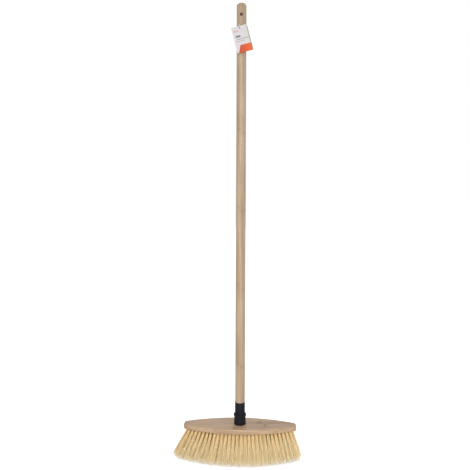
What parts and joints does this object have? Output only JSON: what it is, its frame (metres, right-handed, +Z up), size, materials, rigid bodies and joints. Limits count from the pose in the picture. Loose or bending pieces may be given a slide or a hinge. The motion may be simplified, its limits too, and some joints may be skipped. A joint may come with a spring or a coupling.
{
  "type": "push broom",
  "caption": "Wide push broom: lens-shaped bamboo block with splayed cream bristles, black threaded socket, round bamboo handle with a hanging hole and a blank hang tag.",
  "frame": {"origin": "on the handle's axis, at the level of the bristle tips, under the middle of the block", "axes": "+Z up along the handle, X along the block, -Y the front, where the hang tag is"},
  "size_m": [0.3354, 0.1188, 1.213],
  "materials": {
    "block_bamboo": "satin",
    "handle_bamboo": "satin",
    "bristle_fibre": "matte",
    "black_plastic": "satin",
    "zinc_steel": "satin",
    "clear_elastic": "satin",
    "tag_card": "matte"
  },
  "bodies": {
    "brush_head": {"brush_block": "block_bamboo", "thread_socket": "black_plastic", "socket_screw_1": "zinc_steel", "socket_screw_2": "zinc_steel", "bristle_row_1_front": "bristle_fibre", "bristle_row_2": "bristle_fibre", "bristle_row_3": "bristle_fibre", "bristle_row_4_middle": "bristle_fibre", "bristle_row_5": "bristle_fibre", "bristle_row_6": "bristle_fibre", "bristle_row_7_rear": "bristle_fibre"},
    "tag_band": {"tag_loop": "clear_elastic"},
    "handle": {"handle": "handle_bamboo", "handle_tip": "black_plastic", "tip_pin": "zinc_steel"},
    "hang_tag": {"hang_tag": "tag_card"}
  },
  "joints": [
    {"name": "handle_lift", "type": "slide", "parent": "brush_head", "child": "tag_band", "axis": [0, 0, 1], "range_m": [0, 0.0226]},
    {"name": "handle_unscrew", "type": "hinge", "parent": "tag_band", "child": "handle", "pos_m": [0, 0, 0.119], "axis": [0, 0, 1], "range_deg": [0, 1620]},
    {"name": "tag_swing", "type": "hinge", "parent": "tag_band", "child": "hang_tag", "pos_m": [-0.005, -0.016, 1.1412], "axis": [0, 1, 0], "range_deg": [-25, 54]}
  ],
  "couplings": [
    {"joint": "handle_lift", "follows": "handle_unscrew", "m_per_rad": 0.00079577}
  ]
}
